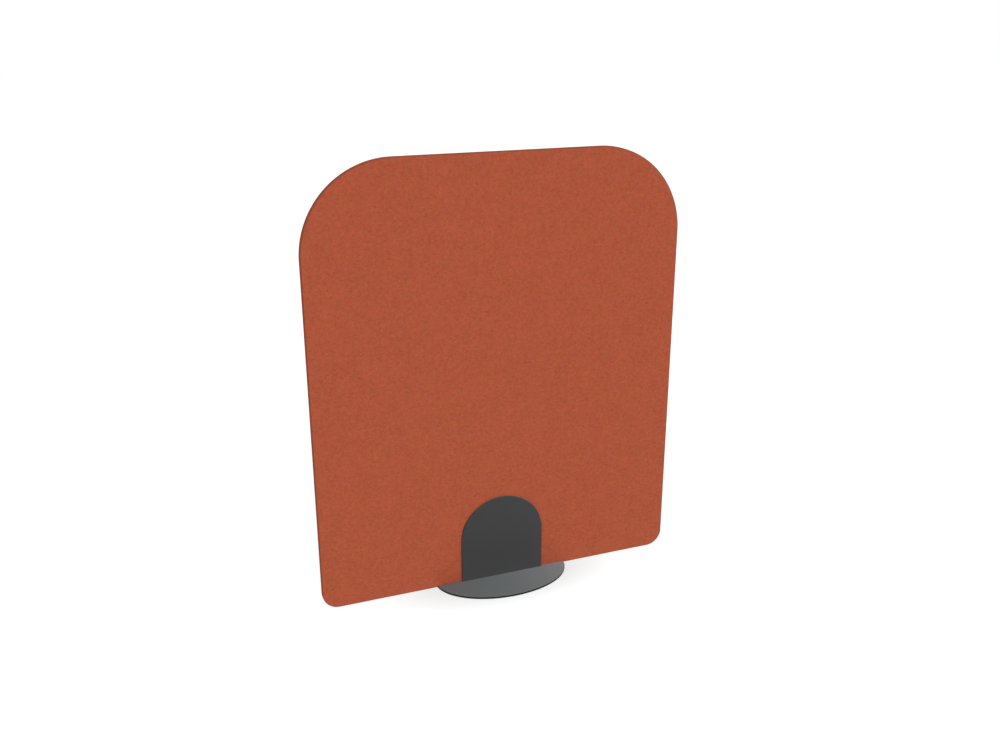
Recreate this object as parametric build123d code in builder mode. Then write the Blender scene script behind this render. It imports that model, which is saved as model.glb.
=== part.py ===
from build123d import *
import os

# Free-standing acoustic divider screen: one thin upholstered board, clamped at the floor between two
# welded steel feet. Each foot is half of an oval plate with an arch-shaped upright standing on it.
# Everything is in millimetres. The origin is on the floor under the middle of the screen, X runs
# along its width, Z is up, and the front faces -Y. The rear foot is the front one mirrored.

# The board's outline
panel_width = 1200.0
panel_height = 1390.0
top_corner_radius = 276.0
bottom_corner_radius = 52.0

# The board's layers, counted from the outside in
fabric_thickness = 1.0
wadding_thickness = 3.0
core_thickness = 15.0
edge_rounding = 3.0
seam_rounding = 0.5
upholstery_clearance = 0.2

# The wooden frame in the core, its dowels and the infill between its rails
rail_width = 60.0
mid_rail_height = 760.0
block_width = 320.0
block_height = 300.0
infill_clearance = 0.5
dowel_diameter = 6.0
dowel_length = 40.0
dowel_spacing = 30.0
block_dowel_spacing = 200.0
dowel_clearance = 0.1
dowel_end_clearance = 0.5

# The strip that closes the cover along the bottom edge, and its staples
strip_width = 12.0
strip_clearance = 0.3
staple_wire = 0.8
staple_crown = 7.0
staple_leg = 8.0
staple_spacing = 60.0
staple_clearance = 0.1

# The steel feet, both cut from one oval, and the pads under them
foot_length = 450.0
foot_depth = 300.0
foot_thickness = 5.0
foot_edge_rounding = 0.6
pad_thickness = 1.5
pad_diameter = 24.0
# Each pad's place on the oval's half length and half depth
pad_place_shares = ((0.74, 0.20), (-0.74, 0.20), (0.26, 0.84), (-0.26, 0.84))

# The arch-shaped uprights and the weld that joins each one to its foot
upright_width = 281.0
upright_height = 285.0
upright_thickness = 5.0
upright_edge_rounding = 0.6
weld_size = 3.0
weld_end_gap = 4.0

# The threaded bosses on the front upright and the countersunk screws from the rear
boss_diameter = 12.0
boss_spacing = 150.0
boss_rise = 130.0
boss_height = 145.0
boss_end_gap = 0.3
boss_clearance = 0.25
thread_depth = 18.0
thread_clearance = 0.05
screw_diameter = 6.0
screw_length = 20.0
screw_head_diameter = 12.0
screw_head_clearance = 0.1
screw_hole_clearance = 0.2
countersink_angle = 90.0
socket_width = 4.0
socket_depth = 2.2

# Cuts run this far past the faces that they open
overrun = 1.0

# Heights above the floor, and distances from the board's middle plane
panel_thickness = core_thickness + 2 * (wadding_thickness + fabric_thickness)
half_thickness = panel_thickness / 2
half_core = core_thickness / 2
panel_bottom = pad_thickness
panel_middle = panel_bottom + panel_height / 2
foot_top = pad_thickness + foot_thickness

# The core's own edges
core_inset = fabric_thickness + upholstery_clearance
core_side = panel_width / 2 - core_inset
core_bottom = panel_bottom + core_inset
core_top = panel_bottom + panel_height - core_inset
core_radius = top_corner_radius - core_inset
rail_top = core_bottom + rail_width
corner_foot = core_top - core_radius
corner_start = core_side - core_radius
stile_inside = core_side - rail_width
stile_middle = core_side - rail_width / 2
top_rail_middle = core_top - rail_width / 2
mid_rail_middle = panel_bottom + mid_rail_height
mid_rail_under = mid_rail_middle - rail_width / 2
mid_rail_over = mid_rail_middle + rail_width / 2
strip_length = panel_width - 2 * bottom_corner_radius

# Planes that look at the screen from the front and from the rear, centred on the four bosses
boss_centre = (0, 0, foot_top + boss_height)
front_clamp = Plane(origin=boss_centre, x_dir=(1, 0, 0), z_dir=(0, -1, 0))
rear_clamp = Plane(origin=boss_centre, x_dir=(-1, 0, 0), z_dir=(0, 1, 0))


def write_piece(builder, name):
    """Labels the finished piece and writes it under its own name."""
    builder.part.label = name
    export_step(builder.part, f"parts/{name}.step")


def mirrored(piece, plane):
    """The same piece on the other side of a plane."""
    with BuildPart() as twin:
        mirror(piece.part, about=plane)
    return twin


def panel_profile(inset):
    """Draws the board's outline, drawn in by inset all round, in the sketch that is open."""
    with Locations((0, panel_middle)):
        Rectangle(panel_width - 2 * inset, panel_height - 2 * inset)
    fillet(vertices().group_by(Axis.Y)[-1], top_corner_radius - inset)
    fillet(vertices().group_by(Axis.Y)[0], bottom_corner_radius - inset)


def padded_half(edge_inset, face_inset):
    """The front half of the board's softened form, drawn in at its edge and at its face."""
    with BuildPart() as half:
        with BuildSketch(Plane.XZ):
            panel_profile(edge_inset)
        extrude(amount=half_thickness - face_inset)
        front_face = half.faces().sort_by(Axis.Y)[0]
        fillet(front_face.edges(), edge_rounding - face_inset)
    return half.part


def bore_panel():
    """Cuts the four boss holes through the piece that is open, from front to rear."""
    with Locations(front_clamp):
        with GridLocations(boss_spacing, boss_rise, 2, 2):
            Cylinder(
                boss_diameter / 2 + boss_clearance,
                panel_thickness + 2 * overrun,
                mode=Mode.SUBTRACT,
            )


def core_piece(left, right, low, high):
    """A board of the core's thickness that fills a rectangle, trimmed to the core's outline."""
    with BuildPart() as piece:
        with BuildSketch(Plane.XZ.offset(-half_core)):
            panel_profile(core_inset)
            with Locations(((left + right) / 2, (low + high) / 2)):
                Rectangle(right - left, high - low, mode=Mode.INTERSECT)
        extrude(amount=core_thickness)
    return piece


def dowel_set(radius, length):
    """Round rods across every joint of the frame, as one part."""
    with BuildPart() as rods:
        for joint_height in (rail_top, corner_foot):
            with Locations((-stile_middle, 0, joint_height), (stile_middle, 0, joint_height)):
                with GridLocations(dowel_spacing, 0, 2, 1):
                    Cylinder(radius, length)
        with Locations((0, 0, rail_top)):
            with GridLocations(block_dowel_spacing, 0, 2, 1):
                Cylinder(radius, length)
        for joint_side, joint_height in (
            (corner_start, top_rail_middle),
            (stile_inside, mid_rail_middle),
        ):
            for side in (-joint_side, joint_side):
                with Locations(Plane.YZ.offset(side)):
                    with Locations((0, joint_height)):
                        with GridLocations(0, dowel_spacing, 1, 2):
                            Cylinder(radius, length)
    return rods


def drilled(piece):
    """The same core piece with the dowel holes that fall in it."""
    with BuildPart() as holed:
        add(piece.part)
        add(dowel_holes.part, mode=Mode.SUBTRACT)
    return holed


def staple_set(wire, crown, leg):
    """A row of staples that point up from the strip's underside, as one part."""
    count = int((strip_length - staple_spacing) / staple_spacing)
    with BuildPart() as row:
        with Locations((0, 0, panel_bottom)):
            with GridLocations(staple_spacing, 0, count, 1):
                Box(wire, crown, wire, align=(Align.CENTER, Align.CENTER, Align.MAX))
        with Locations((0, 0, panel_bottom)):
            with GridLocations(staple_spacing, staple_crown - staple_wire, count, 2):
                Box(wire, wire, leg, align=(Align.CENTER, Align.CENTER, Align.MIN))
    return row


def arch_upright():
    """The front upright: an arch-topped plate with a groove for the weld at its foot."""
    radius = upright_width / 2
    with BuildPart() as upright:
        with BuildSketch(Plane.XZ.offset(half_thickness)):
            with Locations((0, foot_top)):
                Rectangle(
                    upright_width, upright_height - radius, align=(Align.CENTER, Align.MIN)
                )
            with Locations((0, foot_top + upright_height - radius)):
                Circle(radius)
        extrude(amount=upright_thickness)
        outer_face = upright.faces().sort_by(Axis.Y)[0]
        fillet(outer_face.edges().sort_by(Axis.Z)[1:], upright_edge_rounding)
        inner_face = upright.faces().sort_by(Axis.Y)[-1]
        chamfer(inner_face.edges().sort_by(Axis.Z)[0], weld_size)
    return upright


os.makedirs("parts", exist_ok=True)

# Cover: two sewn halves that meet in a seam round the middle of the board's edge
with BuildPart() as front_cover:
    add(padded_half(0, 0))
    add(padded_half(fabric_thickness, fabric_thickness), mode=Mode.SUBTRACT)
    seam_face = front_cover.faces().sort_by(Axis.Y)[-1]
    fillet(seam_face.outer_wire().edges(), seam_rounding)
    with Locations((0, 0, panel_bottom)):
        Box(
            strip_length + 2 * strip_clearance,
            strip_width + 2 * strip_clearance,
            2 * core_inset,
            mode=Mode.SUBTRACT,
        )
    bore_panel()
write_piece(front_cover, "front_cover")
write_piece(mirrored(front_cover, Plane.XZ), "rear_cover")

# Closing strip along the bottom edge, with the holes of its staples
staples = staple_set(staple_wire, staple_crown, staple_leg)
staple_holes = staple_set(
    staple_wire + 2 * staple_clearance, staple_crown, staple_leg + staple_clearance
)
with BuildPart() as bottom_strip:
    with Locations((0, 0, panel_bottom)):
        Box(
            strip_length,
            strip_width,
            fabric_thickness,
            align=(Align.CENTER, Align.CENTER, Align.MIN),
        )
    add(staple_holes.part, mode=Mode.SUBTRACT)
write_piece(bottom_strip, "bottom_strip")
write_piece(staples, "strip_staples")

# Wadding: one soft sheet on each face of the core
with BuildPart() as front_wadding:
    add(padded_half(core_inset, fabric_thickness))
    with BuildSketch(Plane.XZ):
        panel_profile(0)
    extrude(amount=half_core, mode=Mode.SUBTRACT)
    bore_panel()
write_piece(front_wadding, "front_wadding")
write_piece(mirrored(front_wadding, Plane.XZ), "rear_wadding")

# Frame: rails and stiles joined end to end by pairs of dowels
dowels = dowel_set(dowel_diameter / 2, dowel_length)
dowel_holes = dowel_set(
    dowel_diameter / 2 + dowel_clearance, dowel_length + 2 * dowel_end_clearance
)
write_piece(dowels, "frame_dowels")

with BuildPart() as bottom_rail:
    add(drilled(core_piece(-core_side, core_side, core_bottom, rail_top)).part)
    add(staple_holes.part, mode=Mode.SUBTRACT)
write_piece(bottom_rail, "bottom_rail")

left_stile = drilled(core_piece(-core_side, -stile_inside, rail_top, corner_foot))
write_piece(left_stile, "left_stile")
write_piece(mirrored(left_stile, Plane.YZ), "right_stile")

top_rail = drilled(core_piece(-corner_start, corner_start, core_top - rail_width, core_top))
write_piece(top_rail, "top_rail")

mid_rail = drilled(core_piece(-stile_inside, stile_inside, mid_rail_under, mid_rail_over))
write_piece(mid_rail, "mid_rail")

with BuildPart() as plain_corner:
    with BuildSketch(Plane.XZ.offset(-half_core)):
        with Locations((-corner_start, corner_foot)):
            Circle(core_radius)
            Circle(core_radius - rail_width, mode=Mode.SUBTRACT)
            Rectangle(
                core_radius, core_radius, align=(Align.MAX, Align.MIN), mode=Mode.INTERSECT
            )
    extrude(amount=core_thickness)
left_corner = drilled(plain_corner)
write_piece(left_corner, "top_left_corner")
write_piece(mirrored(left_corner, Plane.YZ), "top_right_corner")

# Mounting block: the solid board that the bosses pass through
with BuildPart() as mounting_block:
    add(
        drilled(
            core_piece(-block_width / 2, block_width / 2, rail_top, rail_top + block_height)
        ).part
    )
    bore_panel()
write_piece(mounting_block, "mounting_block")

# Infill: absorbent boards in the frame's two fields
with BuildPart() as lower_infill:
    add(
        core_piece(
            infill_clearance - stile_inside,
            stile_inside - infill_clearance,
            rail_top + infill_clearance,
            mid_rail_under - infill_clearance,
        ).part
    )
    with Locations((0, 0, rail_top)):
        Box(
            block_width + 2 * infill_clearance,
            core_thickness + 2 * overrun,
            2 * (block_height + infill_clearance),
            mode=Mode.SUBTRACT,
        )
write_piece(lower_infill, "lower_infill")

with BuildPart() as upper_infill:
    with BuildSketch(Plane.XZ.offset(-half_core)):
        with Locations((0, mid_rail_over + infill_clearance)):
            Rectangle(
                2 * (stile_inside - infill_clearance),
                core_top - rail_width - mid_rail_over - 2 * infill_clearance,
                align=(Align.CENTER, Align.MIN),
            )
        fillet(vertices().group_by(Axis.Y)[-1], core_radius - rail_width - infill_clearance)
    extrude(amount=core_thickness)
write_piece(upper_infill, "upper_infill")

# Foot plates: the oval's two halves, one on each side of the board
with BuildPart() as front_foot_plate:
    with BuildSketch(Plane.XY.offset(pad_thickness)):
        Ellipse(foot_length / 2, foot_depth / 2)
        with Locations((0, -half_thickness)):
            Rectangle(
                foot_length, foot_depth, align=(Align.CENTER, Align.MAX), mode=Mode.INTERSECT
            )
    extrude(amount=foot_thickness)
    rims = front_foot_plate.faces().filter_by(Axis.Z).edges().filter_by(GeomType.ELLIPSE)
    fillet(rims, foot_edge_rounding)
write_piece(front_foot_plate, "front_foot_plate")
write_piece(mirrored(front_foot_plate, Plane.XZ), "rear_foot_plate")

# Floor pads under each foot plate
with BuildPart() as front_floor_pads:
    for length_share, depth_share in pad_place_shares:
        with Locations((length_share * foot_length / 2, -depth_share * foot_depth / 2)):
            Cylinder(
                pad_diameter / 2, pad_thickness, align=(Align.CENTER, Align.CENTER, Align.MIN)
            )
write_piece(front_floor_pads, "front_floor_pads")
write_piece(mirrored(front_floor_pads, Plane.XZ), "rear_floor_pads")

# Uprights: plain in front, countersunk for the screws at the rear
front_upright = arch_upright()
write_piece(front_upright, "front_upright")

with BuildPart() as rear_upright:
    mirror(front_upright.part, about=Plane.XZ)
    with Locations(rear_clamp.offset(half_thickness + upright_thickness)):
        with GridLocations(boss_spacing, boss_rise, 2, 2):
            CounterSinkHole(
                screw_diameter / 2 + screw_hole_clearance,
                screw_head_diameter / 2 + screw_head_clearance,
                depth=upright_thickness + overrun,
                counter_sink_angle=countersink_angle,
            )
write_piece(rear_upright, "rear_upright")

# Welds: a bead ground flush with the upright's inner face
with BuildPart() as front_weld:
    with BuildSketch(Plane.YZ.offset(weld_end_gap - upright_width / 2)):
        with BuildLine():
            Polyline(
                (-half_thickness, foot_top),
                (-half_thickness - weld_size, foot_top),
                (-half_thickness, foot_top + weld_size),
                close=True,
            )
        make_face()
    extrude(amount=upright_width - 2 * weld_end_gap)
write_piece(front_weld, "front_weld")
write_piece(mirrored(front_weld, Plane.XZ), "rear_weld")

# Bosses: blind threaded spacers, welded to the front upright's inner face
with BuildPart() as threaded_bosses:
    with Locations(front_clamp.offset(half_thickness)):
        with GridLocations(boss_spacing, boss_rise, 2, 2):
            Cylinder(
                boss_diameter / 2,
                panel_thickness - boss_end_gap,
                align=(Align.CENTER, Align.CENTER, Align.MAX),
            )
    with Locations(rear_clamp.offset(half_thickness - boss_end_gap)):
        with GridLocations(boss_spacing, boss_rise, 2, 2):
            Hole(screw_diameter / 2 + thread_clearance, depth=thread_depth)
write_piece(threaded_bosses, "threaded_bosses")

# Screws: countersunk heads with a hexagon socket, flush with the rear upright
head_height = (screw_head_diameter - screw_diameter) / 2
with BuildPart() as screw:
    with BuildSketch(Plane.XZ):
        with BuildLine():
            Polyline(
                (0, 0),
                (screw_head_diameter / 2, 0),
                (screw_diameter / 2, -head_height),
                (screw_diameter / 2, -screw_length),
                (0, -screw_length),
                close=True,
            )
        make_face()
    revolve(axis=Axis.Z)
    with BuildSketch(Plane.XY):
        RegularPolygon(socket_width / 2, 6, major_radius=False)
    extrude(amount=-socket_depth, mode=Mode.SUBTRACT)

with BuildPart() as clamp_screws:
    with Locations(rear_clamp.offset(half_thickness + upright_thickness)):
        with GridLocations(boss_spacing, boss_rise, 2, 2):
            add(screw.part)
write_piece(clamp_screws, "clamp_screws")
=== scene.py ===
import math
import random

import bpy
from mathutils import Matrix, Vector, noise
from mathutils.geometry import delaunay_2d_cdt


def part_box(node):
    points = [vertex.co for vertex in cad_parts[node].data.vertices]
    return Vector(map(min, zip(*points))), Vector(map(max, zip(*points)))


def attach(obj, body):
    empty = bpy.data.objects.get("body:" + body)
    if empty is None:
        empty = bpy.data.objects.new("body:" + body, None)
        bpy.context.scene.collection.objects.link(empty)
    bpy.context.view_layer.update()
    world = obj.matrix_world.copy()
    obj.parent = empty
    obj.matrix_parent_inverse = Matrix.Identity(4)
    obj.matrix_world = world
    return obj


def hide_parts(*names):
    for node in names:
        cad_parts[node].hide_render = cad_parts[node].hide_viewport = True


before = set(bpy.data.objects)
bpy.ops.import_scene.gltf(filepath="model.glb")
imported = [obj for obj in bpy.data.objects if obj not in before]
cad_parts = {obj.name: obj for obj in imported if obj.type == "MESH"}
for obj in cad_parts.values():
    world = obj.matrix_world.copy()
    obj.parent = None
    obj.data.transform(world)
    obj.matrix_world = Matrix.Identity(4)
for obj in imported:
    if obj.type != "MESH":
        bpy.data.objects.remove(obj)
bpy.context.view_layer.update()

# A free-standing acoustic screen: a felt-covered board between two powder-coated steel feet.
# Everything is in metres, in the frame's own place: X along the board, Z up, front towards -Y.
# Depths are measured from the board's middle plane, and insets from the board's outline. Steel,
# screws, wood and pads keep their shapes from the frame, and the soft pieces are made here.

FRONT, REAR = -1, 1

# The board, its core and its feet, read from the frame
cover_low, cover_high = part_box("front_cover")
_, wadding_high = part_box("front_wadding")
strip_low, strip_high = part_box("bottom_strip")
staples_low, staples_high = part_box("strip_staples")
corner_low, corner_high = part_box("top_left_corner")
stile_low, stile_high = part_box("left_stile")
_, block_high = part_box("mounting_block")
lower_low, lower_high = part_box("lower_infill")
upper_low, upper_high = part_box("upper_infill")
upright_low, upright_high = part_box("front_upright")
plate_low, plate_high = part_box("front_foot_plate")
bosses_low, bosses_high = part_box("threaded_bosses")

board_side = cover_high.x
board_bottom = cover_low.z
board_top = cover_high.z
half_thickness = -cover_low.y
core_face = -wadding_high.y
core_inset = board_side - wadding_high.x
top_radius = corner_high.x - corner_low.x + core_inset
bottom_radius = board_side - strip_high.x
rail_width = stile_high.x - stile_low.x
infill_gap = upper_low.x - stile_high.x

# The felt cover and the clearances round it
felt_thickness = 0.001
edge_rounding = 0.003
seam_allowance = 0.008
strip_gap = 0.0003
boss_radius = 0.006
boss_gap = 0.0003
outline_step = 0.005
face_spacing = 0.020
face_insets = (0.003, 0.005, 0.008, 0.012, 0.017, 0.023)
hole_sides = 20

# How the felt lies: fuller away from the edge, pressed flat under the steel
crown_height = 0.00045
crown_reach = 0.035
press_depth = 0.00004
press_reach = 0.010
edge_bulge = 0.00030
pucker_height = 0.00008
pucker_length = 0.012
# Low waves over the face: their length, their height and their layer in the noise
face_waves = ((0.10, 0.00012, 3.0), (0.04, 0.00005, 7.0))

# Painted shade round the board's edges: how far in from its outline the felt is darkened, how fast
# that fades, and its share at the seam
edge_shade_reach = 0.0032
edge_shade_steepness = 1.3
seam_edge_shade = 0.5

# The sewn seam in the groove round the middle of the board's edge
seam_gap = 0.00003
stitch_pitch = 0.0036
stitch_slant = 0.0011
stitch_reach = 0.00062
thread_radius = 0.00019

# The closing strip sags a little between its staples, its upper face less than its lower one
staple_count = 17
staple_wire = 0.0008
staple_hold = 0.012
strip_sag = 0.00022
upper_sag_share = 0.6

# The soft layers inside
wadding_gap = 0.00005
wadding_insets = (0.0045, 0.012, 0.025)
infill_edge = 0.0015
infill_corner = 0.003
infill_play = 0.0001
infill_hollow = 0.00025
infill_hollow_length = 0.05
infill_margin = 0.008

# Painted light makes the uprights paler up to this height, and by so much at the floor, against
# the shade that the foot plate casts on them
painted_lift_reach = 0.13
painted_lift_paleness = 1.55

# The camera that the photograph was taken with, as measured from the edges of the board and foot
camera_place = (-1.0888, -2.8100, 1.7734)
camera_pitch = 19.676
camera_roll = 0.075
camera_yaw = 21.185
camera_lens = 36.915

# The key lamp shines from the front, a little from the right and from above; the sky does the rest
key_direction = (-0.27, 0.86, -0.42)
key_strength = 1.24
key_width = 55
sky_strength = 0.66

# A small lamp beside the foot gives its plate a sheen that fades towards the left
foot_lamp_place = (0.38, -0.03, 0.35)
foot_lamp_power = 5.0
foot_lamp_size = 0.05

# The floor is pale near the foot, where its glow is dimmed into a painted shadow over the real
# one, and white beyond an oval with these half axes. It starts to whiten at a share of the way out
floor_reach = 30.0
floor_tone = (0.39, 0.45, 0.455)
shadow_side = 0.42
shadow_front = 0.205
whitening_start = 0.60

# What the floor adds to its own brightness for the eye alone: less near the foot, a painted
# shadow, and more further out. It sets in at the foot's outline, which paints the gap under the
# plates dark
floor_glow = 0.58
floor_whitening = 0.18
glow_start = 0.998
glow_steepness = 280


# Shader maths


class Value:
    """A node's output. Sums of values add Math nodes."""

    def __init__(self, wiring, output):
        self.wiring = wiring
        self.output = output

    def maths(self, operation, first, second):
        sockets = {"Value": first, "Value_001": second}
        return self.wiring.node("ShaderNodeMath", {"operation": operation}, sockets)["Value"]

    def __add__(self, other):
        return self.maths("ADD", self, other)

    def __radd__(self, other):
        return self.maths("ADD", other, self)

    def __sub__(self, other):
        return self.maths("SUBTRACT", self, other)

    def __rsub__(self, other):
        return self.maths("SUBTRACT", other, self)

    def __mul__(self, other):
        return self.maths("MULTIPLY", self, other)

    def __rmul__(self, other):
        return self.maths("MULTIPLY", other, self)

    def __abs__(self):
        return self.maths("ABSOLUTE", self, 0.0)

    def at_least(self, other):
        return self.maths("MAXIMUM", self, other)

    def at_most(self, other):
        return self.maths("MINIMUM", self, other)

    def share(self):
        """The value held between 0 and 1."""
        return self.at_least(0.0).at_most(1.0)

    def swing(self, amount):
        """Noise about 0.5, as a swing about 0 of so much."""
        return (self - 0.5) * amount


def opaque(colour):
    return colour if isinstance(colour, Value) else (*colour, 1.0)


def scaled(colour, amount):
    return tuple(amount * part for part in colour)


class Wiring:
    """A node tree, emptied, with one way to add any node to it."""

    def __init__(self, tree):
        self.tree = tree
        self.tree.nodes.clear()

    def node(self, kind, settings=None, sockets=None):
        """Adds a node, sets it and then its sockets, and returns its outputs by name."""
        node = self.tree.nodes.new(kind)
        for name, value in (settings or {}).items():
            setattr(node, name, value)
        inputs = {socket.identifier: socket for socket in node.inputs}
        for name, value in (sockets or {}).items():
            if isinstance(value, Value):
                self.tree.links.new(value.output, inputs[name])
            else:
                inputs[name].default_value = value
        return {output.identifier: Value(self, output) for output in node.outputs}

    def mix(self, share, first, second):
        """A colour part of the way from the first to the second."""
        ends = {"Factor_Float": share, "A_Color": opaque(first), "B_Color": opaque(second)}
        return self.node("ShaderNodeMix", {"data_type": "RGBA"}, ends)["Result_Color"]

    def place(self, unit=1.0, turn=(0.0, 0.0, 0.0), stretch=(1.0, 1.0, 1.0)):
        """The point being shaded, in units of that many metres, turned and then squeezed."""
        point = self.node("ShaderNodeTexCoord")["Object"]
        sizes = {"Vector": point, "Rotation": turn, "Scale": [unit * part for part in stretch]}
        return self.node("ShaderNodeMapping", {"vector_type": "TEXTURE"}, sizes)["Vector"]

    def oval(self, side, front):
        """How far out the point lies on the floor, where 1 is an oval round the origin."""
        place = {"Vector": self.place(stretch=(side, front, 1.0))}
        return self.node("ShaderNodeVectorMath", {"operation": "LENGTH"}, place)["Value"]

    def noise(self, place, detail=2.0, roughness=0.5, distortion=0.0):
        """Soft noise about 0.5, with features about as large as the place's unit."""
        sockets = {
            "Vector": place,
            "Scale": 1.0,
            "Detail": detail,
            "Roughness": roughness,
            "Distortion": distortion,
        }
        return self.node("ShaderNodeTexNoise", {}, sockets)["Fac"]

    def bump(self, height, distance, strength=1.0):
        sockets = {"Height": height, "Distance": distance, "Strength": strength}
        return self.node("ShaderNodeBump", {}, sockets)["Normal"]

    def surface(self, **sockets):
        """A Principled surface; a socket's name has _ for its spaces."""
        named = {name.replace("_", " "): value for name, value in sockets.items()}
        return self.node("ShaderNodeBsdfPrincipled", {}, named)["BSDF"]

    def finish(self, surface):
        self.node("ShaderNodeOutputMaterial", {}, {"Surface": surface})

    def seen_ray(self):
        """1 where the eye sees a thing directly or in a reflection."""
        path = self.node("ShaderNodeLightPath")
        mirrored = path["Is Glossy Ray"].at_least(path["Is Transmission Ray"])
        return path["Is Camera Ray"].at_least(mirrored)


def new_material(name):
    material = bpy.data.materials.new(name)
    material.use_nodes = True
    return material, Wiring(material.node_tree)


# Finishes

# The name of the painted edge shade at each of the felt's points: 1 where it turns over the edge
painted_edge_shade = "painted_edge_shade"


def fibre_lines(wiring, angle, length, width, fineness):
    """Thin curling lines, 1 along their middle, that run about one way in the board's plane."""
    turn = (0.0, math.radians(angle), 0.0)
    place = wiring.place(stretch=(length, width, width), turn=turn)
    waves = wiring.noise(place, detail=1.0, roughness=0.4, distortion=0.8)
    return (1.0 - abs(waves - 0.5) * fineness).share()


def melange_felt(name, rust, ochre, brown, rose, straw):
    """Pressed wool of mixed fibres: cloudy, flecked, and with a fine tangle on its surface.

    It is given painted shade where it turns over an edge: darkened towards a near-black brown."""
    material, wiring = new_material(name)
    clouds = wiring.noise(wiring.place(0.040), detail=2.0)
    lying = wiring.place(0.011, stretch=(1.15, 1.0, 1.0))
    mottle = wiring.noise(lying, detail=3.0, roughness=0.62, distortion=0.4)
    tint = wiring.noise(wiring.place(0.011, turn=(0.3, 0.7, 0.2)), detail=2.0)
    bloom = wiring.noise(wiring.place(0.013, turn=(0.9, 0.4, 0.6)), detail=2.0)
    grain = wiring.noise(wiring.place(0.0007), detail=2.0, roughness=0.7)
    slanted = wiring.place(0.0045, turn=(0.0, 0.12, 0.0), stretch=(2.0, 1.0, 1.0))
    flecks = wiring.noise(slanted, detail=2.0, roughness=0.55, distortion=0.6)
    dark_fibres = fibre_lines(wiring, 12, 0.014, 0.0026, 26).at_least(
        fibre_lines(wiring, 128, 0.012, 0.0024, 26)
    )
    light_fibres = fibre_lines(wiring, 65, 0.013, 0.0025, 26).at_least(
        fibre_lines(wiring, -28, 0.015, 0.0027, 26)
    )
    warmth = (tint.swing(1.5) + clouds.swing(0.5) + 0.5).share()
    shade = mottle.swing(1.7) + clouds.swing(0.5) + grain.swing(0.5) + 0.245
    shade = (shade + (0.42 - flecks).at_least(0.0) * 3.4).share()
    colour = wiring.mix(warmth, rust, ochre)
    colour = wiring.mix(shade, colour, brown)
    colour = wiring.mix((bloom.swing(0.55) + 0.11).share(), colour, rose)
    colour = wiring.mix(dark_fibres * 0.35, colour, brown)
    colour = wiring.mix(light_fibres * 0.28, colour, straw)
    # Painted shade: the felt is darkened towards a near-black brown where it turns over an edge
    shaded_edge = wiring.node("ShaderNodeAttribute", {"attribute_name": painted_edge_shade})["Fac"]
    colour = wiring.mix(shaded_edge * 0.25, colour, scaled(brown, 0.15))
    height = dark_fibres * 0.22 + light_fibres * 0.26 + grain * 0.5 + mottle * 0.3
    wiring.finish(
        wiring.surface(
            Base_Color=colour,
            Roughness=grain.swing(0.1) + 0.9,
            Normal=wiring.bump(height, 0.00025, 0.55),
            Sheen_Weight=0.03,
            Sheen_Roughness=0.5,
            Sheen_Tint=(1.0, 0.55, 0.4, 1.0),
            Specular_IOR_Level=0.06,
        )
    )
    return material


def coat_surface(wiring, face, gloss, dust_and_painted_lift=None):
    """Fine matt powder coat: a low orange peel, a little unevenness, and any painted lift of light.
    """
    peel = wiring.noise(wiring.place(0.0011), detail=2.0, roughness=0.6)
    speckle = wiring.noise(wiring.place(0.00032), detail=1.0)
    drift = wiring.noise(wiring.place(0.06), detail=2.0)
    tone = (drift.swing(0.5) + speckle.swing(0.6) + 0.5).share()
    colour = wiring.mix(tone, scaled(face, 0.92), scaled(face, 1.08))
    # Painted light: the coat is mixed by the given share towards a paler copy
    if dust_and_painted_lift:
        colour = wiring.mix(dust_and_painted_lift, colour, scaled(face, painted_lift_paleness))
    return wiring.surface(
        Base_Color=colour,
        Roughness=drift.swing(0.12) + peel.swing(0.1) + 0.62,
        Normal=wiring.bump(peel * 0.7 + speckle * 0.3, 0.00006, 0.5),
        Specular_IOR_Level=gloss,
    )


def powder_coat(name, painted_lit_level, level_gloss, wall, wall_gloss):
    """The coat of the foot, with painted light and shade: faces that lie level get a paler copy of
    the coat than faces that stand upright, as if lit from above.

    Upright faces get painted light towards their base, a little paler there against the shade
    that the foot plate casts on them."""
    material, wiring = new_material(name)
    normal = wiring.node("ShaderNodeNewGeometry")["Normal"]
    upward = abs(wiring.node("ShaderNodeSeparateXYZ", {}, {"Vector": normal})["Z"])
    rise = wiring.node("ShaderNodeSeparateXYZ", {}, {"Vector": wiring.place()})["Z"]
    # Painted light: the share grows towards the floor, where the foot plate shades the uprights
    near_floor = (1.0 - rise * (1.0 / painted_lift_reach)).share()
    # Painted light and shade: level faces take the paler copy of the coat, upright faces the darker
    lies_level = (upward * 2.5 - 1.1).share()
    surfaces = {
        "Fac": lies_level,
        "Shader": coat_surface(wiring, wall, wall_gloss, near_floor * near_floor),
        "Shader_001": coat_surface(wiring, painted_lit_level, level_gloss),
    }
    wiring.finish(wiring.node("ShaderNodeMixShader", {}, surfaces)["Shader"])
    return material


def turned_steel(name, tone, roughness):
    """Turned or drawn steel: bright, with faint clouds in its surface."""
    material, wiring = new_material(name)
    clouds = wiring.noise(wiring.place(0.0025), detail=2.0)
    lines = wiring.noise(wiring.place(stretch=(0.00012, 0.004, 0.00012)), detail=1.0)
    warm = (tone[0] * 1.05, tone[1] * 1.02, tone[2] * 0.94)
    wiring.finish(
        wiring.surface(
            Base_Color=wiring.mix((clouds.swing(0.9) + 0.5).share(), scaled(tone, 0.92), warm),
            Metallic=1.0,
            Roughness=clouds.swing(0.12) + lines.swing(0.1) + roughness,
            Normal=wiring.bump(lines, 0.00002, 0.4),
        )
    )
    return material


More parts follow.
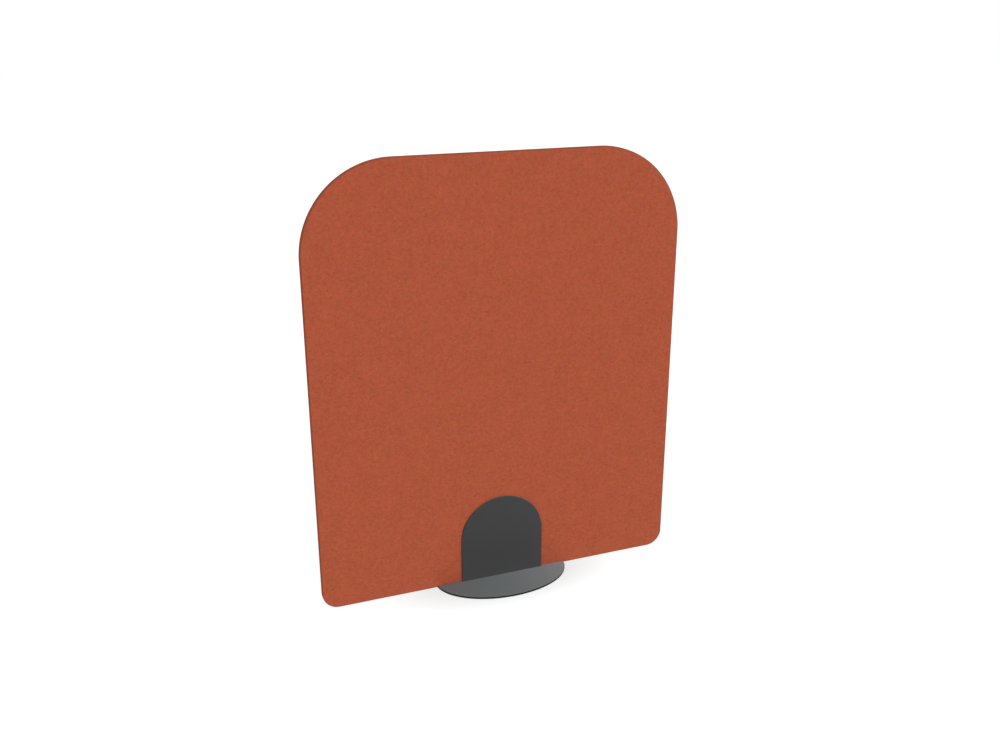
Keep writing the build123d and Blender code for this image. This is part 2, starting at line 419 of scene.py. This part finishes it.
def fibreboard(name, pale, dark):
    """Sawn medium-density board: fine pressed fibres, with the long streaks of its faces."""
    material, wiring = new_material(name)
    strands = wiring.place(stretch=(0.0030, 0.0006, 0.0009))
    fibres = wiring.noise(strands, detail=3.0, roughness=0.7)
    dust_and_painted_lift = wiring.noise(wiring.place(0.0005), detail=2.0)
    layers = wiring.noise(wiring.place(stretch=(0.05, 0.0022, 0.05)), detail=1.0)
    share = (fibres.swing(1.2) + dust_and_painted_lift.swing(0.5) + layers.swing(0.8) + 0.45).share()
    wiring.finish(
        wiring.surface(
            Base_Color=wiring.mix(share, pale, dark),
            Roughness=dust_and_painted_lift.swing(0.12) + 0.72,
            Normal=wiring.bump(fibres * 0.6 + dust_and_painted_lift * 0.4, 0.00015, 0.5),
        )
    )
    return material


def beech(name, pale, dark):
    """Fluted beech dowels: straight grain with short dark flecks."""
    material, wiring = new_material(name)
    long_grain = wiring.place(stretch=(0.0009, 0.0009, 0.012))
    grain = wiring.noise(long_grain, detail=3.0, roughness=0.65)
    flecks = wiring.noise(wiring.place(stretch=(0.0004, 0.0004, 0.0018)), detail=1.0)
    share = (grain.swing(1.4) + (0.4 - flecks).at_least(0.0) * 2.5 + 0.35).share()
    wiring.finish(
        wiring.surface(
            Base_Color=wiring.mix(share, pale, dark),
            Roughness=grain.swing(0.2) + 0.55,
            Normal=wiring.bump(grain, 0.0002, 0.4),
        )
    )
    return material


def loose_fibre(name, pale, dark, strand, depth):
    """Polyester fibre, loose in the wadding and pressed in the infill."""
    material, wiring = new_material(name)
    clumps = wiring.noise(wiring.place(0.011), detail=3.0, roughness=0.6)
    strands = fibre_lines(wiring, 25, strand * 9, strand, 10).at_least(
        fibre_lines(wiring, 110, strand * 8, strand, 10)
    )
    share = (clumps.swing(1.0) + 0.4 - strands * 0.3).share()
    wiring.finish(
        wiring.surface(
            Base_Color=wiring.mix(share, pale, dark),
            Roughness=clumps.swing(0.1) + 0.9,
            Normal=wiring.bump(strands * 0.7 + clumps * 0.5, depth, 0.6),
            Sheen_Weight=0.2,
        )
    )
    return material


def pad_rubber(name, tone):
    """Black rubber with a fine moulded grain and a little floor dust."""
    material, wiring = new_material(name)
    grain = wiring.noise(wiring.place(0.0006), detail=2.0)
    dust_and_painted_lift = wiring.noise(wiring.place(0.006), detail=3.0, roughness=0.7)
    dusty = tuple(3.0 * part + 0.01 for part in tone)
    wiring.finish(
        wiring.surface(
            Base_Color=wiring.mix(((dust_and_painted_lift - 0.45) * 1.5).share(), tone, dusty),
            Roughness=grain.swing(0.15) + 0.75,
            Normal=wiring.bump(grain, 0.00008, 0.5),
        )
    )
    return material


def sewing_thread(name, tone):
    """Twisted thread in the felt's own colour."""
    material, wiring = new_material(name)
    strands = wiring.place(0.0005, turn=(0.5, 0.5, 0.5), stretch=(3.0, 0.4, 0.4))
    twist = wiring.noise(strands)
    wiring.finish(
        wiring.surface(
            Base_Color=wiring.mix(twist, scaled(tone, 0.72), tone),
            Roughness=twist.swing(0.2) + 0.6,
            Normal=wiring.bump(twist, 0.00008, 0.6),
            Sheen_Weight=0.1,
        )
    )
    return material


felt = melange_felt(
    "rust_melange_felt",
    rust=(0.474, 0.0997, 0.0405),
    ochre=(0.374, 0.1085, 0.052),
    brown=(0.300, 0.060, 0.0190),
    rose=(0.516, 0.052, 0.081),
    straw=(0.595, 0.149, 0.0695),
)
# Painted light: the upright's level faces get a copy of its coat about three times as pale
upright_coat = powder_coat(
    "powder_coat_upright",
    painted_lit_level=(0.115, 0.115, 0.115),
    level_gloss=0.25,
    wall=(0.0390, 0.0390, 0.0393),
    wall_gloss=0.22,
)
# Painted light and shade: the plate's top gets a pale copy of the coat, slightly cool against the
# felt's warm bounce, and its rim a near-black copy
plate_coat = powder_coat(
    "powder_coat_floor_plate",
    painted_lit_level=(0.150, 0.164, 0.167),
    level_gloss=0.12,
    wall=(0.005, 0.005, 0.005),
    wall_gloss=0.03,
)
screw_zinc = turned_steel("screw_zinc", (0.62, 0.62, 0.61), 0.34)
boss_steel = turned_steel("boss_bare_steel", (0.50, 0.49, 0.47), 0.42)
staple_steel = turned_steel("staple_galvanised_steel", (0.56, 0.56, 0.55), 0.38)
frame_board = fibreboard("frame_fibreboard", (0.50, 0.35, 0.215), (0.33, 0.215, 0.125))
dowel_beech = beech("dowel_beech", (0.66, 0.48, 0.31), (0.44, 0.28, 0.16))
wadding_fibre = loose_fibre(
    "wadding_white_fibre", (0.82, 0.81, 0.78), (0.66, 0.65, 0.62), 0.0009, 0.0006
)
infill_fibre = loose_fibre(
    "infill_grey_fibre", (0.24, 0.24, 0.25), (0.10, 0.10, 0.105), 0.0006, 0.0004
)
rubber = pad_rubber("floor_pad_rubber", (0.02, 0.02, 0.021))
thread = sewing_thread("seam_thread_rust", (0.36, 0.075, 0.035))


# Outlines in the board's plane


def walk_round(corners, step, end_gap=0.0):
    """Points and outward directions round a shape with filleted square corners, anticlockwise.

    Each corner is (x, z, radius). An end gap adds a point that far inside each end of an arc."""
    points = []
    for number, (x, z, radius) in enumerate(corners):
        next_x, next_z, next_radius = corners[(number + 1) % len(corners)]
        corner, following = Vector((x, z)), Vector((next_x, next_z))
        arriving = (corner - Vector(corners[number - 1][:2])).normalized()
        leaving = (following - corner).normalized()
        outward = Vector((arriving.y, -arriving.x))
        next_outward = Vector((leaving.y, -leaving.x))
        bend = radius if arriving.cross(leaving) > 0 else -radius
        centre = corner + radius * (leaving - arriving)
        arc = math.radians(90) * radius
        turns = max(round(arc / step), 3)
        shares = {turn / turns for turn in range(turns + 1)}
        if end_gap:
            shares |= {end_gap / arc, 1.0 - end_gap / arc}
        for share in sorted(shares):
            angle = math.radians(90) * share
            out = math.cos(angle) * outward + math.sin(angle) * next_outward
            points.append((*(centre + bend * out), *out))
        begin, end = corner + radius * leaving, following - next_radius * leaving
        steps = max(round((end - begin).length / step), 1)
        for count in range(1, steps):
            points.append((*begin.lerp(end, count / steps), *next_outward))
    return points


def rounded_box(side, bottom, top, low_radius, high_radius):
    """The corners of an upright shape with one radius below and another above."""
    return (
        (side, bottom, low_radius),
        (side, top, high_radius),
        (-side, top, high_radius),
        (-side, bottom, low_radius),
    )


def depth_inside(x, z, corners):
    """How far a point lies inside such a shape, or less than nothing outside it."""
    (side, bottom, low_radius), (_, top, high_radius), *_ = corners
    middle = (top + bottom) / 2
    radius = high_radius if z > middle else low_radius
    across = abs(x) - (side - radius)
    up = abs(z - middle) - ((top - bottom) / 2 - radius)
    outside = math.hypot(max(across, 0.0), max(up, 0.0)) + min(max(across, up), 0.0)
    return radius - outside


board = rounded_box(board_side, board_bottom, board_top, bottom_radius, top_radius)
boss_centres = [
    (x, z)
    for x in (bosses_low.x + boss_radius, bosses_high.x - boss_radius)
    for z in (bosses_low.z + boss_radius, bosses_high.z - boss_radius)
]


def distance_from_upright(x, z):
    """How far a point on the board's face lies from the upright, or less than nothing under it."""
    radius = upright_high.x
    centre = upright_high.z - radius
    if z > centre:
        return math.hypot(x, z - centre) - radius
    return max(abs(x) - radius, upright_low.z - z)


def distance_from_plate(x, z):
    """How far a point on the board's face lies from the foot plate's back edge."""
    return math.hypot(max(abs(x) - plate_high.x, 0.0), max(z - plate_high.z, 0.0))


def felt_face(x, z, side):
    """The depth of the felt's outer face."""
    inside = max(depth_inside(x, z, board), 0.0)
    crown = crown_height * (1.0 - math.exp(-inside / crown_reach))
    settled = min(inside / crown_reach, 1.0)
    for length, height, layer in face_waves:
        wave = noise.noise(Vector((x / length, side * layer, z / length)))
        crown += wave * height * settled
    steel = max(min(distance_from_upright(x, z), distance_from_plate(x, z)), 0.0)
    freed = 1.0 - math.exp(-steel / press_reach)
    return half_thickness - press_depth + (press_depth + crown) * freed


# Points inside a face, and the triangles between them


def grid(spacing, low, high):
    """A staggered grid over a box in the board's plane."""
    rows = int((high.z - low.z) / spacing)
    columns = int((high.x - low.x) / spacing)
    for row in range(1, rows):
        for column in range(columns + 1):
            yield low.x + (column + 0.5 * (row % 2)) * spacing, low.z + row * spacing


def rings_round_upright(clearances, step):
    """Lines that follow the upright's outline, close together where the felt dips under it."""
    for clearance in clearances:
        radius = upright_high.x + clearance
        centre = upright_high.z - upright_high.x
        turns = round(math.pi * radius / step)
        for turn in range(turns + 1):
            angle = math.pi * turn / turns
            yield radius * math.cos(angle), centre + radius * math.sin(angle)
        for row in range(1, round((centre - upright_low.z) / step)):
            yield radius, centre - row * step
            yield -radius, centre - row * step


def face_points(spacing, margin):
    """Points over the board's face: rings round the upright and a grid everywhere else."""
    clearances = (-0.008, -0.0015, 0.0015, 0.006, 0.012, 0.020, 0.031, 0.045)
    near, far = clearances[0] - spacing * 0.5, clearances[-1] + spacing * 0.5
    points = list(rings_round_upright(clearances, spacing * 0.4))
    for point in grid(spacing, cover_low, cover_high):
        if not near < distance_from_upright(*point) < far:
            points.append(point)
    keep_off = boss_radius + spacing * 0.3
    return [
        point
        for point in points
        if depth_inside(*point, board) > margin
        and all(math.dist(point, centre) > keep_off for centre in boss_centres)
    ]


def fill_face(rim, inside, hole_centres=(), hole_radius=0.0):
    """Fills a rim with triangles round its holes.

    Returns the points inside the rim, each hole as its points' numbers, and the triangles, all
    numbered from the rim's first point."""
    points = list(rim) + list(inside)
    edges = [(number, (number + 1) % len(rim)) for number in range(len(rim))]
    holes = []
    for x, z in hole_centres:
        hole = range(len(points), len(points) + hole_sides)
        for turn in range(hole_sides):
            angle = math.tau * turn / hole_sides
            points.append((x + hole_radius * math.cos(angle), z + hole_radius * math.sin(angle)))
        edges += [(hole[turn - 1], hole[turn]) for turn in range(hole_sides)]
        holes.append(hole)
    flat = [Vector(point) for point in points]
    # 1 asks for the triangles inside the rim alone
    made, _, triangles, sources, _, _ = delaunay_2d_cdt(flat, edges, [], 1, 1e-7)
    kept = []
    for triangle in triangles:
        middle = sum((made[corner] for corner in triangle), Vector((0.0, 0.0))) / 3
        if all(math.dist(middle, centre) > hole_radius for centre in hole_centres):
            kept.append([sources[corner][0] for corner in triangle])
    return points[len(rim):], holes, kept


def layered_skin(side, outline, edge, insets, outer, inner, fill):
    """A closed skin with an outer and an inner face, its edge turned over round an outline.

    edge(x, z) gives the rings on the edge, outer and inner, each as (inset, depth). After them
    come rings on the faces at the given insets, and then the fill. outer(x, z) and inner(x, z)
    give the depths of the two faces."""
    outside, within = [], []
    for x, z, out_x, out_z in outline:
        outer_rings, inner_rings = edge(x, z)
        for inset in insets:
            place = (x - inset * out_x, z - inset * out_z)
            outer_rings.append((inset, outer(*place)))
            inner_rings.append((inset, inner(*place)))
        for rings, skin in ((outer_rings, outside), (inner_rings, within)):
            for inset, depth in rings:
                skin.append((x - inset * out_x, side * depth, z - inset * out_z))
    count = len(outline)
    rings = len(outside) // count
    middle, holes, triangles = fill
    outside += [(x, side * outer(x, z), z) for x, z in middle]
    within += [(x, side * inner(x, z), z) for x, z in middle]
    behind = len(outside)

    def point(number):
        return number * rings + rings - 1 if number < count else count * rings + number - count

    faces, walls = [], []
    for number in range(count):
        here, there = number * rings, (number + 1) % count * rings
        for ring in range(rings - 1):
            faces.append((here + ring, there + ring, there + ring + 1, here + ring + 1))
        walls.append((there, here))
    faces += [tuple(point(corner) for corner in triangle) for triangle in triangles]
    for hole in holes:
        walls += [(point(hole[turn - 1]), point(hole[turn])) for turn in range(len(hole))]
    faces += [tuple(corner + behind for corner in reversed(face)) for face in faces]
    faces += [(first, second, second + behind, first + behind) for first, second in walls]
    if side == REAR:
        faces = [tuple(reversed(face)) for face in faces]
    return outside + within, faces


def turned_edge(inset, depth, radius, turns=6):
    """The rings of a quarter turn from a side to a face, round a centre at (inset, depth)."""
    rings = []
    for turn in range(turns):
        angle = math.radians(90) * turn / turns
        rings.append((inset - radius * math.cos(angle), depth + radius * math.sin(angle)))
    return rings


def add_piece(name, points, faces, material, sharp=40):
    """A mesh piece that rides on the screen's one body."""
    mesh = bpy.data.meshes.new(name)
    mesh.from_pydata([tuple(point) for point in points], [], faces)
    mesh.validate()
    mesh.update()
    mesh.materials.append(material)
    mesh.polygons.foreach_set("use_smooth", [True] * len(mesh.polygons))
    mesh.set_sharp_from_angle(angle=math.radians(sharp))
    piece = bpy.data.objects.new(name, mesh)
    bpy.context.scene.collection.objects.link(piece)
    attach(piece, "root")
    return piece


# The felt cover, in two sewn halves

edge_depth = half_thickness - edge_rounding
# Shares of the way from the seam to the face, with the felt's inset in the groove
seam_rings = ((0.0, 0.00055), (0.018, 0.00022), (0.045, 0.00005), (0.09, 0.0))
side_rings = ((0.25, 0.0), (0.5, 0.0), (0.75, 0.0))


def over_strip(x, z):
    return z < board_bottom + 1e-6 and abs(x) < strip_high.x + 1e-6


def felt_edge(x, z):
    """The felt from the seam, or the closing strip's side, to the start of its face."""
    open_edge = over_strip(x, z)
    start = strip_high.y + strip_gap if open_edge else seam_gap
    pucker = noise.noise(Vector((x / pucker_length, 0.0, z / pucker_length))) * pucker_height
    outer, inner = [], []
    for share, groove in seam_rings + side_rings:
        depth = start + share * (edge_depth - start)
        bulge = 0.0 if open_edge else (edge_bulge + pucker) * math.sin(math.pi * share)
        outer.append((groove - bulge, depth))
        inner.append((felt_thickness, depth))
    outer += turned_edge(edge_rounding, edge_depth, edge_rounding)
    inner += turned_edge(edge_rounding, edge_depth, edge_rounding - felt_thickness)
    return outer, inner


def painted_edge_shade_share(x, y, z):
    """How much painted shade the felt gets: 1 where it turns over the edge, less beside the seam,
    and 0 on the open face.
    """
    inside = max(depth_inside(x, z, board), 0.0)
    across = min(abs(y) / edge_depth, 1.0)
    share = min(max(edge_shade_steepness * (1.0 - inside / edge_shade_reach), 0.0), 1.0)
    return share * (seam_edge_shade + (1.0 - seam_edge_shade) * across)


def add_felt(name, node, side):
    outline = walk_round(board, outline_step, strip_gap)
    last = face_insets[-1]
    rim = [(x - last * out_x, z - last * out_z) for x, z, out_x, out_z in outline]
    inside = face_points(face_spacing, last + face_spacing * 0.25)
    points, faces = layered_skin(
        side,
        outline,
        felt_edge,
        face_insets,
        lambda x, z: felt_face(x, z, side),
        lambda x, z: felt_face(x, z, side) - felt_thickness,
        fill_face(rim, inside, boss_centres, boss_radius + boss_gap),
    )
    piece = add_piece(name, points, faces, felt, sharp=50)
    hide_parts(node)
    # The share of painted shade at each point, which darkens the felt round the board's edges
    shares = [painted_edge_shade_share(*point) for point in points]
    piece.data.attributes.new(painted_edge_shade, "FLOAT", "POINT").data.foreach_set("value", shares)
    # The cut: the face, the turned edge as it lies flat, and the seam allowance
    turned = edge_depth + (math.pi / 2 - 1) * edge_rounding + seam_allowance
    flat = (2 * (board_side + turned), board_top - board_bottom + 2 * turned)
    corners = (top_radius + turned) ** 2 + (bottom_radius + turned) ** 2
    cut_off = 2 * (1 - math.pi / 4) * corners
    flat[0] * flat[1] - cut_off
    return piece


felts = [add_felt("front_felt", "front_cover", FRONT), add_felt("rear_felt", "rear_cover", REAR)]


# The seam that joins them


def tube(path, radius, sides=6):
    """A thin thread along a few points, closed at both ends."""
    points, faces = [], []
    for number, point in enumerate(path):
        before, after = path[max(number - 1, 0)], path[min(number + 1, len(path) - 1)]
        along = (after - before).normalized()
        first = along.cross(Vector((0.3, 0.2, 0.9))).normalized()
        second = along.cross(first)
        for turn in range(sides):
            angle = math.tau * turn / sides
            points.append(point + radius * (math.cos(angle) * first + math.sin(angle) * second))
    for ring in range(len(path) - 1):
        for turn in range(sides):
            here, there = ring * sides + turn, ring * sides + (turn + 1) % sides
            faces.append((here, there, there + sides, here + sides))
    faces.append(tuple(reversed(range(sides))))
    faces.append(tuple(range(len(points) - sides, len(points))))
    return points, faces


# Where a stitch runs: the share of its way across the groove, and its inset there
stitch_path = ((-1.0, 0.00075), (-0.5, 0.0004), (0.0, 0.0003), (0.5, 0.0004), (1.0, 0.00075))


def add_seam():
    """Short slanted stitches across the groove, from one end of the closing strip to the other."""
    draw = random.Random(4)
    points, faces = [], []
    for x, z, out_x, out_z in walk_round(board, stitch_pitch):
        if over_strip(x, z):
            continue
        slant = stitch_slant * draw.uniform(0.7, 1.2)
        shift = draw.uniform(-0.15, 0.15) * stitch_pitch
        path = []
        for share, inset in stitch_path:
            along = shift + slant * share / 2
            across = (x - inset * out_x - along * out_z, z - inset * out_z + along * out_x)
            path.append(Vector((across[0], stitch_reach * share, across[1])))
        stitch_points, stitch_faces = tube(path, thread_radius)
        faces += [tuple(len(points) + corner for corner in face) for face in stitch_faces]
        points += stitch_points
    add_piece("seam_thread", points, faces, thread)


add_seam()


# The strip that closes the cover along the bottom, held up by its staples


def add_closing_strip(length_steps=274, width_steps=6):
    first, last = staples_low.x + staple_wire / 2, staples_high.x - staple_wire / 2
    staples = [
        first + (last - first) * number / (staple_count - 1) for number in range(staple_count)
    ]
    points = []
    for layer_height, sag_share in ((0.0, 1.0), (felt_thickness, upper_sag_share)):
        for row in range(length_steps + 1):
            x = strip_low.x + (strip_high.x - strip_low.x) * row / length_steps
            away = min(abs(x - staple) for staple in staples)
            sag = strip_sag * (1.0 - math.exp(-((away / staple_hold) ** 2)))
            for column in range(width_steps + 1):
                across = 2 * column / width_steps - 1
                middle = 1.0 - across**2
                z = strip_low.z + layer_height - sag * sag_share * middle
                points.append((x, strip_high.y * across, z))
    wide = width_steps + 1
    layer = (length_steps + 1) * wide
    faces = []
    for row in range(length_steps):
        start = row * wide
        for here in range(start, start + width_steps):
            lower = (here, here + 1, here + wide + 1, here + wide)
            faces.append(lower)
            faces.append(tuple(corner + layer for corner in reversed(lower)))
        far = start + width_steps
        faces.append((start, start + wide, start + wide + layer, start + layer))
        faces.append((far + wide, far, far + layer, far + wide + layer))
    for here in range(width_steps):
        end = length_steps * wide + here
        faces.append((here + 1, here, here + layer, here + 1 + layer))
        faces.append((end, end + 1, end + 1 + layer, end + layer))
    strip = add_piece("closing_strip", points, faces, felt, sharp=50)
    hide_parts("bottom_strip")
    return strip


strip = add_closing_strip()


# The wadding under each face of the felt


def wadding_edge(x, z):
    """The wadding's edge, from the core's face round to its own."""
    radius = edge_rounding - felt_thickness - wadding_gap
    inset = core_inset + wadding_gap
    back = core_face + wadding_gap
    turned = turned_edge(inset + radius, edge_depth, radius, turns=4)
    outer = [(inset, back + wadding_gap)] + turned
    inner = [(inset + radius * share, back) for share in (0.1, 0.3, 0.5, 0.7, 0.9)]
    return outer, inner


def add_wadding(name, node, side):
    outline = walk_round(board, 2 * outline_step)
    last = wadding_insets[-1]
    rim = [(x - last * out_x, z - last * out_z) for x, z, out_x, out_z in outline]
    spacing = 1.5 * face_spacing
    inside = face_points(spacing, last + spacing * 0.3)
    points, faces = layered_skin(
        side,
        outline,
        wadding_edge,
        wadding_insets,
        lambda x, z: felt_face(x, z, side) - felt_thickness - wadding_gap,
        lambda x, z: core_face + wadding_gap,
        fill_face(rim, inside, boss_centres, boss_radius + boss_gap),
    )
    piece = add_piece(name, points, faces, wadding_fibre, sharp=50)
    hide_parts(node)


add_wadding("front_wadding_sheet", "front_wadding", FRONT)
add_wadding("rear_wadding_sheet", "rear_wadding", REAR)


# The absorbent boards in the frame's two fields


def infill_face(x, z):
    """Half the thickness of a pressed fibre board, which is a little uneven."""
    place = Vector((x / infill_hollow_length, 5.0, z / infill_hollow_length))
    return core_face - infill_play - infill_hollow * abs(noise.noise(place))


def infill_board_edge(x, z):
    """The board's edge from near its middle plane, the same to the front and the rear."""
    side_end = core_face - infill_play - infill_edge
    outer = [(0.0, core_face / 3)] + turned_edge(infill_edge, side_end, infill_edge, turns=4)
    return outer, [(inset, -depth) for inset, depth in outer]


def add_infill(name, node, corners, inside):
    outline = walk_round(corners, face_spacing)
    rim = [(x - infill_edge * out_x, z - infill_edge * out_z) for x, z, out_x, out_z in outline]
    middle = [point for point in grid(1.2 * face_spacing, *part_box(node)) if inside(*point)]
    points, faces = layered_skin(
        FRONT,
        outline,
        infill_board_edge,
        (infill_edge,),
        infill_face,
        lambda x, z: -infill_face(x, z),
        fill_face(rim, middle),
    )
    piece = add_piece(name, points, faces, infill_fibre, sharp=50)
    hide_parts(node)


upper_radius = top_radius - core_inset - rail_width - infill_gap
upper_field = rounded_box(upper_high.x, upper_low.z, upper_high.z, infill_corner, upper_radius)
notch_side, notch_top = block_high.x + infill_gap, block_high.z + infill_gap
lower_field = (
    (lower_high.x, lower_low.z, infill_corner),
    (lower_high.x, lower_high.z, infill_corner),
    (lower_low.x, lower_high.z, infill_corner),
    (lower_low.x, lower_low.z, infill_corner),
    (-notch_side, lower_low.z, infill_corner),
    (-notch_side, notch_top, infill_corner),
    (notch_side, notch_top, infill_corner),
    (notch_side, lower_low.z, infill_corner),
)


def inside_upper_field(x, z, margin=infill_margin):
    return depth_inside(x, z, upper_field) > margin


def inside_lower_field(x, z, margin=infill_margin):
    within = abs(x) < lower_high.x - margin and lower_low.z + margin < z < lower_high.z - margin
    return within and not (abs(x) < notch_side + margin and z < notch_top + margin)


add_infill("upper_infill_board", "upper_infill", upper_field, inside_upper_field)
add_infill("lower_infill_board", "lower_infill", lower_field, inside_lower_field)


# Finishes of the pieces that come from the frame


def dress(material, *nodes):
    for node in nodes:
        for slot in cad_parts[node].material_slots:
            slot.material = material


dress(upright_coat, "front_upright", "rear_upright", "front_weld", "rear_weld")
dress(plate_coat, "front_foot_plate", "rear_foot_plate")
dress(screw_zinc, "clamp_screws")
dress(boss_steel, "threaded_bosses")
dress(staple_steel, "strip_staples")
dress(rubber, "front_floor_pads", "rear_floor_pads")
dress(dowel_beech, "frame_dowels")
dress(frame_board, "bottom_rail", "left_stile", "right_stile", "top_rail", "mid_rail")
dress(frame_board, "top_left_corner", "top_right_corner", "mounting_block")


# Camera, light and floor


def set_camera():
    data = bpy.data.cameras.new("camera")
    data.lens = camera_lens
    data.sensor_width = 36.0
    camera = bpy.data.objects.new("camera", data)
    camera.location = camera_place
    turn = (90 - camera_pitch, camera_roll, -camera_yaw)
    camera.rotation_euler = [math.radians(angle) for angle in turn]
    bpy.context.scene.collection.objects.link(camera)
    bpy.context.scene.camera = camera


def set_lights():
    """A wide, soft key and an even sky, which is white where the eye sees it."""
    key = bpy.data.lights.new("key", "SUN")
    key.energy = key_strength
    key.angle = math.radians(key_width)
    lamp = bpy.data.objects.new("key", key)
    lamp.rotation_euler = Vector(key_direction).to_track_quat("-Z", "Y").to_euler()
    bpy.context.scene.collection.objects.link(lamp)
    sky = bpy.data.worlds.new("studio")
    bpy.context.scene.world = sky
    sky.use_nodes = True
    wiring = Wiring(sky.node_tree)
    strength = wiring.seen_ray() * (1.0 - sky_strength) + sky_strength
    light = {"Color": (1.0, 1.0, 1.0, 1.0), "Strength": strength}
    background = wiring.node("ShaderNodeBackground", {}, light)["Background"]
    wiring.node("ShaderNodeOutputWorld", {}, {"Surface": background})


def set_foot_lamp(*unlit):
    """A lamp for the steel alone, which leaves the felt and the floor as they are."""
    data = bpy.data.lights.new("foot_lamp", "POINT")
    data.energy = foot_lamp_power
    data.shadow_soft_size = foot_lamp_size
    lamp = bpy.data.objects.new("foot_lamp", data)
    lamp.location = foot_lamp_place
    lamp.visible_camera = lamp.visible_glossy = False
    left_out = bpy.data.collections.new("unlit_by_foot_lamp")
    lamp.light_linking.receiver_collection = left_out
    for piece in unlit:
        left_out.objects.link(piece)
    for member in left_out.collection_objects:
        member.light_linking.link_state = "EXCLUDE"
    bpy.context.scene.collection.objects.link(lamp)


def set_floor():
    """A pale floor, with a painted shadow round the foot and a painted dark gap under the plates,
    that is white further out.
    """
    signs = ((-1, -1), (1, -1), (1, 1), (-1, 1))
    corners = [(floor_reach * side, floor_reach * end, 0) for side, end in signs]
    mesh = bpy.data.meshes.new("floor")
    mesh.from_pydata(corners, [], [(0, 1, 2, 3)])
    floor = bpy.data.objects.new("floor", mesh)
    bpy.context.scene.collection.objects.link(floor)
    material, wiring = new_material("floor_pale")
    # Painted shadow: the glow is dimmed in an oval round the foot
    outward = wiring.oval(shadow_side, shadow_front) - whitening_start
    painted_shadow_fade = (outward * (1.0 / (1.0 - whitening_start))).share()
    # Painted shade: the glow is cut off under the foot plates
    past_foot = wiring.oval(plate_high.x, -plate_low.y) - glow_start
    strength = (painted_shadow_fade * floor_whitening + floor_glow) * (past_foot * glow_steepness).share()
    glow = {"Color": (1.0, 1.0, 1.0, 1.0), "Strength": wiring.seen_ray() * strength}
    pale = {"Color": (*floor_tone, 1.0)}
    both = {
        "Shader": wiring.node("ShaderNodeBsdfDiffuse", {}, pale)["BSDF"],
        "Shader_001": wiring.node("ShaderNodeEmission", {}, glow)["Emission"],
    }
    wiring.finish(wiring.node("ShaderNodeAddShader", {}, both)["Shader"])
    mesh.materials.append(material)
    floor.visible_diffuse = False
    return floor


set_camera()
set_lights()
floor = set_floor()
set_foot_lamp(floor, *felts, strip)
bpy.context.scene.view_settings.view_transform = "Standard"
